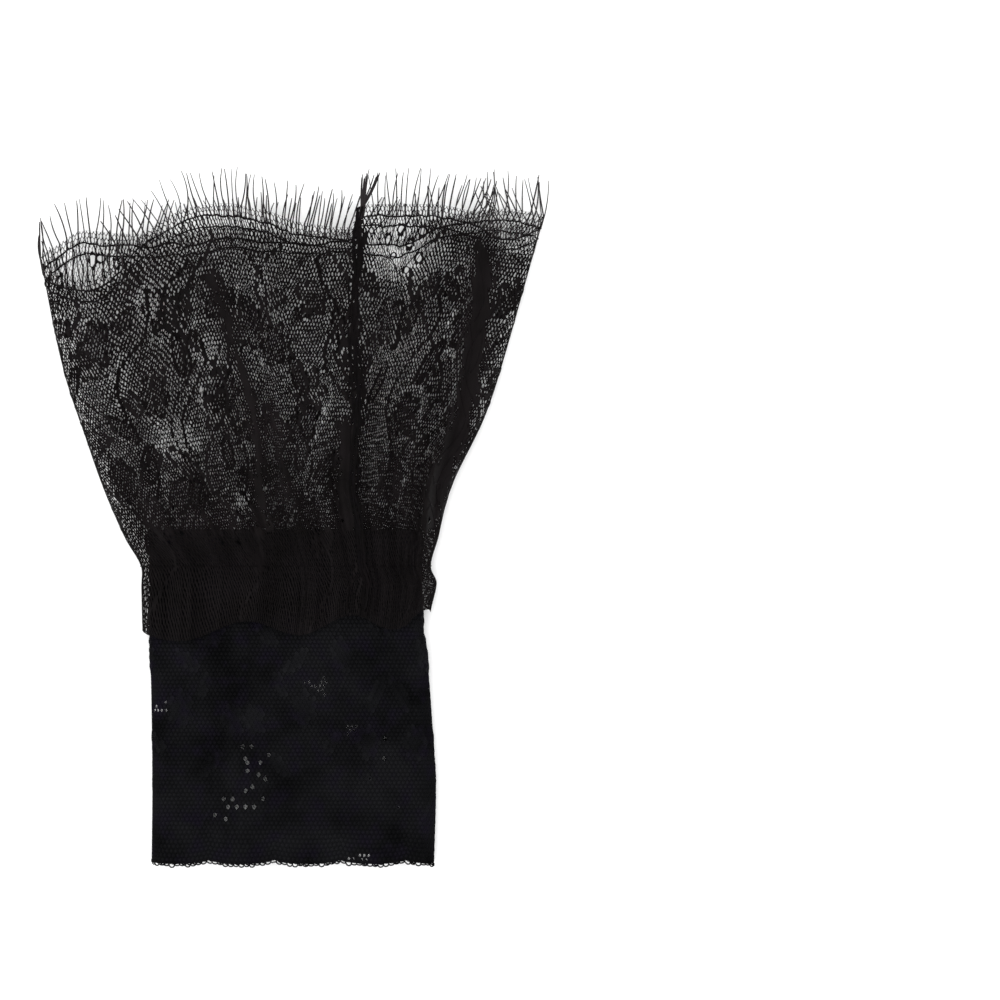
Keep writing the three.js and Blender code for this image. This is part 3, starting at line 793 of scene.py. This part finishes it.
# Knitted polyamide and elastane stretch lace: closed and matt, a cold black with bluish and plum patches
STRETCH_LACE = dyed_yarn("knitted_elastane_lace", "#060607", "#131315", "#110d18", 0.2, 0.66, 0.03, 0.9)
# Loose twisted polyester warp ends: wiry, a warm dark grey against the light
EYELASH_THREAD = dyed_yarn("twisted_polyester_ends", "#120e0f", "#211b1d", "#1a1619", 0.14, 0.5, 0.16, 0.4)
# Spun polyester overlock thread: hairy and lightless, the deepest black of the cuff
SEWING_THREAD = dyed_yarn("spun_polyester_thread", "#070606", "#0d0a0b", "#0b090b", 0.14, 0.75, 0.03, 0.6)


# Flounce lace. Folds lie as paths of x and y in the cuff's own frame. half is half the fold's width, and
# hold the share by which it closes the lace, because the cloth lies double or treble there.
DARK_FOLDS = [
    dict(half=0.8, hold=0.65, path=[(-28.9, 171.7), (-31.2, 141.6)]),
    dict(
        half=1.9,
        hold=0.75,
        path=[(-24.1, 165.4), (-20.3, 157.9), (-14.9, 141.6), (-9.5, 118.7), (-9.5, 83.4)],
    ),
    dict(half=1.3, hold=0.6, path=[(-6.6, 128.7), (-5.4, 122.4), (-3.2, 114.7), (-0.9, 107.5), (2.0, 100.9)]),
    dict(half=2.7, hold=0.85, path=[(15.2, 123.3), (15.2, 95.7)]),
    dict(
        half=3.2,
        hold=1.0,
        path=[(55.0, 185.4), (53.0, 155.0), (50.4, 137.0), (47.9, 124.5), (44.2, 115.0), (38.0, 96.6)],
    ),
]
# Patches where both layers are open: middle, and half its width and height
LIGHT_PATCHES = [
    dict(x=-41.6, y=158.5, wide=3.4, tall=4.6),
    dict(x=-33.7, y=119.2, wide=6.4, tall=4.9),
    dict(x=-24.1, y=144.5, wide=4.6, tall=3.7),
    dict(x=-14.9, y=102.5, wide=2.0, tall=3.3),
    dict(x=13.3, y=145.1, wide=1.9, tall=4.3),
    dict(x=64.6, y=179.3, wide=5.9, tall=5.9),
]
NET_OPEN = dict(across=0.54, tall=0.78)
MOTIF_OPEN = dict(across=0.36, tall=0.82)
PATCH_OPEN = dict(across=0.78, tall=0.76)
GAUZE_OPEN = dict(across=0.8, tall=0.84)
LADDER_OPEN = dict(across=0.6, tall=0.9)
FIELD_OPEN = dict(across=0.79, tall=0.94)
OPENWORK_RIM = 0.3
# Upright slots of the top right corner, open through both layers: middle, and half the width and height
CORNER_SLOTS = [
    dict(x=60.1, y=182.3, wide=0.6, tall=1.8),
    dict(x=59.8, y=178.0, wide=0.7, tall=1.8),
    dict(x=65.1, y=183.4, wide=0.55, tall=1.6),
    dict(x=62.7, y=182.6, wide=0.55, tall=1.3),
    dict(x=67.4, y=182.8, wide=0.55, tall=1.3),
    dict(x=69.0, y=182.9, wide=0.55, tall=1.3),
    dict(x=66.3, y=177.3, wide=0.55, tall=1.6),
    dict(x=67.2, y=179.0, wide=0.55, tall=1.4),
    dict(x=68.9, y=177.6, wide=0.7, tall=1.4),
    dict(x=63.2, y=174.6, wide=0.55, tall=1.2),
    dict(x=61.3, y=174.3, wide=0.55, tall=0.8),
]
# Fields of thin threads round the openwork: middle, half the width and height, and the layer they lie in
THIN_FIELDS = [
    dict(top=False, x=-59.8, y=169.5, wide=10.0, tall=7.0),
    dict(top=False, x=30.5, y=174.0, wide=12.0, tall=9.0),
    dict(top=True, x=30.5, y=175.0, wide=8.5, tall=6.5),
]


def far_from_path(spot, path):
    """Distance of each place from a path of straight stretches."""
    far = np.full(len(spot), 1e9)
    for start, end in zip(np.array(path[:-1]), np.array(path[1:])):
        along = end - start
        share = np.clip(((spot[:, :2] - start) @ along) / (along @ along), 0, 1)
        near = start + share[:, None] * along
        far = np.minimum(far, np.linalg.norm(spot[:, :2] - near, axis=1))
    return far


def choose(here, size, across, tall):
    return np.where(here, size["across"], across), np.where(here, size["tall"], tall)


def flare_openness(around, down):
    """Size of each mesh's hole, across and down, as a share of the mesh."""
    inside, edge = floral(around, down)
    fine = soft_noise(around, down, 4.5, SEED + 21)
    wide = soft_noise(around, down, 21, SEED + 22)
    spot = knitted_flare(around, down)
    top = flare_layer(around, down)[0]
    blank = np.zeros_like(around)
    across, tall = choose(True, NET_OPEN, blank, blank)
    across, tall = choose(inside, MOTIF_OPEN, across, tall)
    beside = ~inside & (edge > 0.6) & (edge < 1.7) & (speckle(around, down) > 0.4)
    across, tall = choose(beside, PATCH_OPEN, across, tall)
    across = across * (1 + 0.16 * fine + 0.14 * wide) * (1 - 0.3 * ease(40, 92, down))
    for fold in DARK_FOLDS:
        far = far_from_path(spot, fold["path"]) * np.maximum(0.3, 1 + 0.4 * fine)
        close = np.exp(-((far / fold["half"]) ** 3))
        across = across * (1 - np.where(top, 1, 0.35) * fold["hold"] * close)
    for patch in LIGHT_PATCHES:
        off = np.hypot((spot[:, 0] - patch["x"]) / patch["wide"], (spot[:, 1] - patch["y"]) / patch["tall"])
        across, tall = choose(off + 0.35 * fine < 1, PATCH_OPEN, across, tall)
    across = np.where((edge < 0.36) | (across < 0.16), 0, across)
    across, tall = choose(down < SECOND_CORD, LADDER_OPEN, across, tall)
    across, tall = choose(down < FIRST_CORD, GAUZE_OPEN, across, tall)
    for field in THIN_FIELDS:
        off = np.hypot((spot[:, 0] - field["x"]) / field["wide"], (spot[:, 1] - field["y"]) / field["tall"])
        here = (off + 0.12 * fine < 1) & (top == field["top"]) & (down > FIRST_CORD)
        across, tall = choose(here, FIELD_OPEN, across, tall)
    for slot in CORNER_SLOTS:
        beside = np.abs(spot[:, 0] - slot["x"]) / slot["wide"]
        above = np.abs(spot[:, 1] - slot["y"]) / slot["tall"]
        across, tall = choose((beside < 1) & (above < 1), FIELD_OPEN, across, tall)
    for hole in openings():
        beyond = beyond_opening(around, down, hole)[0]
        across = np.where((np.abs(beyond) < OPENWORK_RIM) & hole["rimmed"], 0, across)
    from_seam = np.minimum(around, FLARE_GIRTH - around)
    across = np.where(from_seam < SEAM_HALF, 0, across)
    return np.clip(across, 0, 0.92), tall


def flare_lace():
    """The flounce's lace in three pieces round the cuff, each with its flat area."""
    holes = [*openings(), *small_rounds()]
    pieces = []
    for part in range(FLARE_PARTS):
        first, last = (NET_COLUMNS * place // FLARE_PARTS for place in (part, part + 1))
        lattice = net(first, last, NET_ROWS + 1, MESH_ACROSS, MESH_DOWN)
        size = flare_openness(*lattice[3])
        name = "flare_lace_" + ("right", "under", "left")[part]
        made = lace_sheet(
            name, knitted_flare, lattice, size, FLARE_LENGTH, POLYAMIDE_NET, holes, lean=HOLE_LEAN
        )
        pieces.append(made)
    return pieces


# Cords of the flounce: two lines along the edge, rims of the openings, and the outlines of the pattern
def outline(threads, around, down, closed):
    """One outline cord, left out where it would leave the patterned part of the strip."""
    if around.min() < 2 or around.max() > FLARE_GIRTH - 2:
        return
    if down.min() < SECOND_CORD + 1 or down.max() > FLARE_LENGTH - 1:
        return
    threads.add(on_cloth(knitted_flare, around, down, 0.08), OUTLINE_RADIUS, sides=3, closed=closed)


# Heavier threads through the openwork: a fan that meets below the right scallop's rounds, and upright ones
# down the left corner. Spots are x and y in the cuff's own frame.
FAN_POINT = (29.8, 166.2)
FAN_TOP = 181.0
FAN_STARTS = (21.5, 24.6, 34.6, 41.0)
UPRIGHT_FROM, UPRIGHT_TO, UPRIGHT_SPACING = 207.0, 231.0, 2.3  # along the strip
UPRIGHT_END = 17.5


def openwork_threads(threads):
    holes = [hole for hole in openings() if hole["top"]]
    end = place_on_flare(*FAN_POINT, True)
    share = np.linspace(0, 1, 22)
    for start_x in FAN_STARTS:
        start = place_on_flare(start_x, FAN_TOP, True)
        bow = 0.9 * np.sin(math.pi * share) * np.sign(start_x - FAN_POINT[0])
        around = start[0] + (end[0] - start[0]) * share + bow
        down = start[1] + (end[1] - start[1]) * share
        around, down = push_out(around, down, holes)
        threads.add(on_cloth(knitted_flare, around, down, 0.1), 0.13, sides=4)
    for start in np.arange(UPRIGHT_FROM, UPRIGHT_TO, UPRIGHT_SPACING):
        down = np.linspace(FIRST_CORD, UPRIGHT_END, 16)
        around = start + 0.5 * np.sin(down / 2.6 + start) + 0.3 * np.sin(down / 1.3 + 2 * start)
        threads.add(on_cloth(knitted_flare, around, down, 0.12), 0.19, sides=4)


def flare_cords():
    threads = Threads()
    along = np.linspace(0, FLARE_GIRTH, 460)
    for down in (FIRST_CORD, SECOND_CORD):
        thick = CORD_RADIUS * (1 + 0.2 * soft_noise(along, along * 0, 3, SEED + 31))
        threads.add(on_cloth(knitted_flare, along, down, 0.1), thick, sides=5)
    for hole in (hole for hole in openings() if hole["rimmed"]):
        turn = np.linspace(0, 2 * math.pi, 18, endpoint=False)
        rim = hole["radius"] + 0.1
        around = hole["around"] + rim * np.cos(turn)
        down = hole["down"] + rim * np.sin(turn) + np.sign(np.sin(turn)) * hole["half"]
        threads.add(on_cloth(knitted_flare, around, down, 0.05), 0.16, sides=4, closed=True)
    openwork_threads(threads)
    for flower in placed_motifs(FLOWERS):
        turn = np.linspace(0, 2 * math.pi, 10 * flower["petals"], endpoint=False)
        reach = petal_reach(flower, turn)
        outline(threads, flower["around"] + reach * np.cos(turn), flower["down"] + reach * np.sin(turn), True)
    for leaf in placed_motifs(LEAVES):
        turn = np.linspace(0, 2 * math.pi, 18, endpoint=False)
        long_way = leaf["length"] * SCALLOP_PITCH / 2 * np.cos(turn)
        short_way = leaf["width"] * SCALLOP_PITCH / 2 * np.sin(turn)
        around = leaf["around"] + long_way * math.cos(leaf["turn"]) - short_way * math.sin(leaf["turn"])
        down = leaf["down"] + long_way * math.sin(leaf["turn"]) + short_way * math.cos(leaf["turn"])
        outline(threads, around, down, True)
    for stem in placed_motifs(STEMS):
        down = np.linspace(SECOND_CORD + 2, FLARE_LENGTH - 2, 90)
        outline(threads, stem_around(stem, down), down, False)
    return threads.piece("flare_cords", VISCOSE_CORD)


# Side seam: the two edges of the strip rolled together and overlocked
def flare_seam():
    chance = np.random.default_rng(SEED + 3)
    threads = Threads()
    down = np.linspace(0.2, FLARE_LENGTH, 170)
    narrow = 0.6 + 0.4 * ease(2, 9, down)
    for lane in np.linspace(-SEAM_HALF, SEAM_HALF, 6):
        sway = 0.4 * np.sin(down / 5.3 + 5 * lane) + 0.3 * np.sin(down / 2.1 + 9 * lane)
        thick = 0.24 * (1 + 0.4 * np.sin(down / 2.3 + 7 * lane) + chance.uniform(-0.15, 0.25, len(down)))
        lift = 0.22 + 0.15 * np.sin(down / 3.7 + 4 * lane)
        threads.add(on_cloth(knitted_flare, lane * narrow + sway, down, lift[:, None]), thick, sides=5)
    stitches = 130
    zigzag = np.linspace(0.4, FLARE_LENGTH - 0.3, stitches)
    side = np.where(np.arange(stitches) % 2, 1, -1) * chance.uniform(0.5, 1.5, stitches)
    threads.add(on_cloth(knitted_flare, side, zigzag, 0.45), 0.12, sides=4)
    return threads.piece("flare_seam", SEWING_THREAD)


# Gathering stitch that holds the flounce to the band
def gathering_stitch():
    threads = Threads()
    for start in np.arange(0, FLARE_GIRTH, 5.4):
        around = np.linspace(start, start + 3.6, 6)
        lift = 0.28 - 0.3 * np.abs(np.linspace(-1, 1, 6)) ** 3
        threads.add(on_cloth(flare_surface, around, PINCH_AT, lift[:, None]), 0.16, sides=4)
    return threads.piece("gathering_stitch", SEWING_THREAD)


# Eyelash fringe: warp threads that run on past the scalloped edge. At the seam they are caught in two tufts:
# tip is how far to the right a tuft ends.
SEAM_TUFTS = [dict(tip=-0.4, threads=7), dict(tip=2.7, threads=8)]
TUFT_RADIUS = 0.22
FAN = 3.2  # how far a thread's tip leans away from its scallop's peak
LEFT_CORNER_LEAN = 1.5
LEFT_REACH = -72.8  # no loose thread at the left fold ends beyond this
RIGHT_CORNER_LEAN = 3.7


def eyelash(threads, root, warp, length, lean, curl, radius, lift, on_edge):
    """One loose thread from the edge: lean moves its tip sideways, curl bends it."""
    side = np.array([warp[1], -warp[0], 0])
    run = np.linspace(0, 1, 9)[1:, None]
    free = root + warp * length * run + side * (lean * run + curl * (run**2 - run))
    free[:, 2] = np.maximum(free[:, 2] + lift * run[:, 0], 0.25)
    taper = np.concatenate([np.full(len(on_edge), radius), radius * (1 - 0.4 * run[:, 0] ** 3)])
    threads.add(np.concatenate([on_edge, free]), taper, sides=5)


def edge_of_cloth(start):
    """The last stretch of a warp thread in the gauze, and its direction over the table."""
    on_edge = on_cloth(knitted_flare, np.full(5, start), np.linspace(FIRST_CORD, 0.05, 5), 0.12)
    warp = on_edge[-1] - on_edge[0]
    warp[2] = 0
    return on_edge, warp / np.linalg.norm(warp)


def eyelash_fringe():
    chance = np.random.default_rng(SEED + 1)
    threads = Threads()
    starts = np.arange(1.6, FLARE_GIRTH - 1, THREAD_SPACING)
    starts = starts + chance.uniform(-0.35, 0.35, len(starts))
    top = flare_layer(starts, np.zeros_like(starts))[0]
    from_peak = (starts - FIRST_PEAK + SCALLOP_PITCH / 2) % SCALLOP_PITCH / SCALLOP_PITCH - 0.5
    leans = 2 * FAN * from_peak * np.where(top, 1, -1) + chance.normal(0, 0.55, len(starts))
    caught = chance.uniform(0, 1, len(starts)) < 0.2
    leans += 0.9 * caught * np.where(top, 1, -1)
    leans[1:] -= 0.9 * caught[:-1] * np.where(top[1:], 1, -1)
    for start, lean, on_top in zip(starts, leans, top):
        on_edge, warp = edge_of_cloth(start)
        root = on_edge[-1]
        lean -= LEFT_CORNER_LEAN * ease(58, 70, -root[0]) + RIGHT_CORNER_LEAN * ease(52, 58, root[0])
        bold = 1.25 if on_top and root[0] < -40 else 1
        length = FRINGE_LENGTH * chance.uniform(0.8, 1.1)
        tip = root[0] + warp[0] * length + warp[1] * lean
        lean += max(0, LEFT_REACH - tip) / max(warp[1], 0.3)
        radius = THREAD_RADIUS * bold * chance.uniform(0.8, 1.2)
        curl = chance.normal(0, 1.4)
        lift = chance.uniform(-0.3, 0.9)
        eyelash(threads, root, warp, length, lean, curl, radius, lift, on_edge)
    for tuft in SEAM_TUFTS:
        for _ in range(tuft["threads"]):
            on_edge, warp = edge_of_cloth(chance.uniform(0.1, 1.3))
            lean = tuft["tip"] + chance.normal(0, 0.28)
            length = FRINGE_LENGTH * chance.uniform(0.78, 1.02)
            eyelash(threads, on_edge[-1], warp, length, lean, -0.5 * lean, TUFT_RADIUS, 0.4, on_edge)
    return threads.piece("eyelash_threads", EYELASH_THREAD)


# Wrist band: dense stretch lace. Its open meshes go through both layers, at these places, and size is the
# share of the mesh that is open.
BAND_HOLES = [
    dict(x=-15.0, y=31.8, size=0.86),
    dict(x=-12.6, y=32.1, size=0.86),
    dict(x=-7.2, y=30.0, size=0.86),
    dict(x=-9.7, y=28.1, size=0.86),
    dict(x=-14.0, y=28.4, size=0.86),
    dict(x=-12.6, y=27.2, size=0.86),
    dict(x=-13.5, y=25.5, size=0.86),
    dict(x=-10.6, y=23.8, size=0.86),
    dict(x=-7.7, y=22.7, size=0.86),
    dict(x=-12.0, y=20.4, size=0.86),
    dict(x=-14.0, y=19.2, size=0.86),
    dict(x=-20.3, y=16.9, size=0.86),
    dict(x=-17.8, y=16.9, size=0.86),
    dict(x=-9.2, y=16.8, size=0.86),
    dict(x=-15.8, y=15.0, size=0.92),
    dict(x=-14.0, y=15.0, size=0.92),
    dict(x=-11.6, y=15.0, size=0.92),
    dict(x=-19.0, y=14.5, size=0.86),
    dict(x=-22.1, y=12.6, size=0.86),
    dict(x=-19.3, y=11.3, size=0.86),
    dict(x=25.8, y=34.4, size=0.86),
    dict(x=25.5, y=29.1, size=0.86),
    dict(x=22.0, y=23.2, size=0.4),
    dict(x=30.0, y=15.3, size=0.4),
]
# Clusters of pinpricks, too small to look through: middle, and half its width and height
BAND_SPECKS = [
    dict(x=-37.7, y=43.7, wide=2.7, tall=2.1, size=0.45),
    dict(x=7.3, y=49.5, wide=4.7, tall=2.7, size=0.5),
    dict(x=16.2, y=36.8, wide=2.1, tall=2.1, size=0.5),
    dict(x=18.6, y=0.6, wide=4.3, tall=0.9, size=0.45),
]
BAND_RAISE = 0.3
BACK_MESH = 0.92  # openness of the under layer behind the open meshes
BACK_REACH = 4.0


def band_lace():
    columns = 2 * round(BAND_GIRTH / BAND_ACROSS / 2)
    rows = round(BAND_LENGTH / BAND_DOWN) + 1
    lattice = net(0, columns, rows, BAND_GIRTH / columns, BAND_LENGTH / (rows - 1))
    around, down = lattice[3]
    spot = band_surface(around, down)
    top = around / BAND_GIRTH < 0.5
    inside, edge = floral(1.6 * around, 1.1 * down + 16)
    size = np.zeros_like(around)
    for hole in BAND_HOLES:
        far = np.hypot(spot[:, 0] - hole["x"], spot[:, 1] - hole["y"])
        nearest = far <= far[top].min() + 1e-6
        size = np.where(nearest & top, hole["size"], size)
        size = np.where((far < BACK_REACH) & ~top, BACK_MESH, size)
    for patch in BAND_SPECKS:
        off = np.hypot((spot[:, 0] - patch["x"]) / patch["wide"], (spot[:, 1] - patch["y"]) / patch["tall"])
        size = np.where((off < 1) & top & (speckle(around, down) > 0.45), patch["size"], size)
        size = np.where((off < 1.8) & ~top, BACK_MESH, size)
    raised = BAND_RAISE * (inside * 1.0 + (edge < 0.5) * 0.5)
    name = "wrist_band_lace"
    sunk = np.where(inside, 0.3, 0.6)
    made = lace_sheet(
        name, band_surface, lattice, (size, size), BAND_LENGTH, STRETCH_LACE, relief=raised, dimple=sunk
    )
    return made[0]


def band_picots():
    """Tiny loops along the wrist hem."""
    chance = np.random.default_rng(SEED + 4)
    threads = Threads()
    loops = 112
    pitch = BAND_GIRTH / loops
    for loop in range(loops):
        turn = np.linspace(0, math.pi, 7)
        around = (loop + 0.5) * pitch - 0.55 * pitch * np.cos(turn)
        root = on_cloth(band_surface, around, BAND_LENGTH, 0)
        root[:, 1] -= chance.uniform(0.4, 1.0) * np.sin(turn)
        root[:, 2] = np.maximum(root[:, 2], 0.25)
        threads.add(root, 0.2, sides=4)
    return threads.piece("wrist_band_picots", STRETCH_LACE)


# Build
flare_pieces = flare_lace()
cords = flare_cords()
seam = flare_seam()
stitch = gathering_stitch()
fringe = eyelash_fringe()
band = band_lace()
picots = band_picots()

for piece in [piece for piece, _ in flare_pieces] + [cords, seam, stitch]:
    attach(piece, "root")
    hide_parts("flare")
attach(fringe, "root")
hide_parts("eyelash_fringe")
for piece in (band, picots):
    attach(piece, "root")
    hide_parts("wrist_band")


# Floor, light and camera
def make_stage():
    bpy.ops.mesh.primitive_plane_add(size=6)
    floor = bpy.context.object
    floor.name = "floor"
    floor.data.materials.append(white_card())


def make_light(name, size, power, place):
    lamp = bpy.data.lights.new(name, "AREA")
    lamp.size = size
    lamp.energy = power
    light = bpy.data.objects.new(name, lamp)
    light.location = place
    light.rotation_euler = (-light.location).to_track_quat("-Z", "Y").to_euler()
    bpy.context.scene.collection.objects.link(light)


PHOTO_SPAN = 286.6  # what the photograph's frame is across
PHOTO_MIDDLE_X = 58.75  # its middle in the cuff's own frame
PHOTO_MIDDLE_Y = 102.33
CAMERA_HEIGHT = 1500


def make_camera():
    lens = bpy.data.cameras.new("camera")
    lens.sensor_width = 36
    lens.lens = lens.sensor_width * CAMERA_HEIGHT / PHOTO_SPAN
    lens.clip_end = 10
    camera = bpy.data.objects.new("camera", lens)
    x = PHOTO_MIDDLE_X + SHIFT_X
    y = PHOTO_MIDDLE_Y + SHIFT_Y
    camera.location = (x * MM, y * MM, CAMERA_HEIGHT * MM)
    bpy.context.scene.collection.objects.link(camera)
    bpy.context.scene.camera = camera


make_stage()
make_light("overhead_softbox", 1.2, 16, (0.1, 0.1, 1.3))
make_light("left_softbox", 0.8, 7, (-0.9, -0.3, 0.8))
make_camera()
world = bpy.data.worlds.new("studio")
world.use_nodes = True
world.node_tree.nodes["Background"].inputs["Color"].default_value = (1, 1, 1, 1)
world.node_tree.nodes["Background"].inputs["Strength"].default_value = 0.75
bpy.context.scene.world = world
bpy.context.scene.view_settings.view_transform = "Standard"
